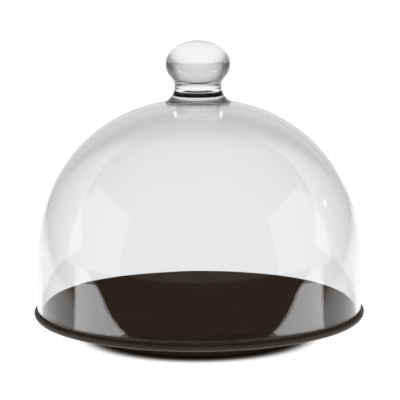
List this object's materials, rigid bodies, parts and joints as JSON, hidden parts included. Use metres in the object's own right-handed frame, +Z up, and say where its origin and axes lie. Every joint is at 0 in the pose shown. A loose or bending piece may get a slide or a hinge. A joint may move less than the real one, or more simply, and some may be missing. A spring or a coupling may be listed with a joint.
{
  "type": "cheese dome",
  "caption": "Clear glass bell with a rounded solid glass knob, lifting off a dark glazed footed plate, for covering and serving cheese.",
  "frame": {"origin": "on the common axis of bell and plate, in the plane the foot ring rests on", "axes": "+Z up along the axis of bell, knob and plate; X and Y are alike, because everything is round"},
  "size_m": [0.3058, 0.3058, 0.2736],
  "materials": {
    "clear_glass": "clear, polished",
    "dark_glaze": "satin dark brown glaze"
  },
  "bodies": {
    "plate": {"plate": "dark_glaze"},
    "dome": {"dome_shell": "clear_glass", "dome_knob": "clear_glass"}
  },
  "joints": [
    {"name": "dome_lift", "type": "slide", "parent": "plate", "child": "dome", "axis": [0, 0, 1], "range_m": [0, 0.25]}
  ]
}
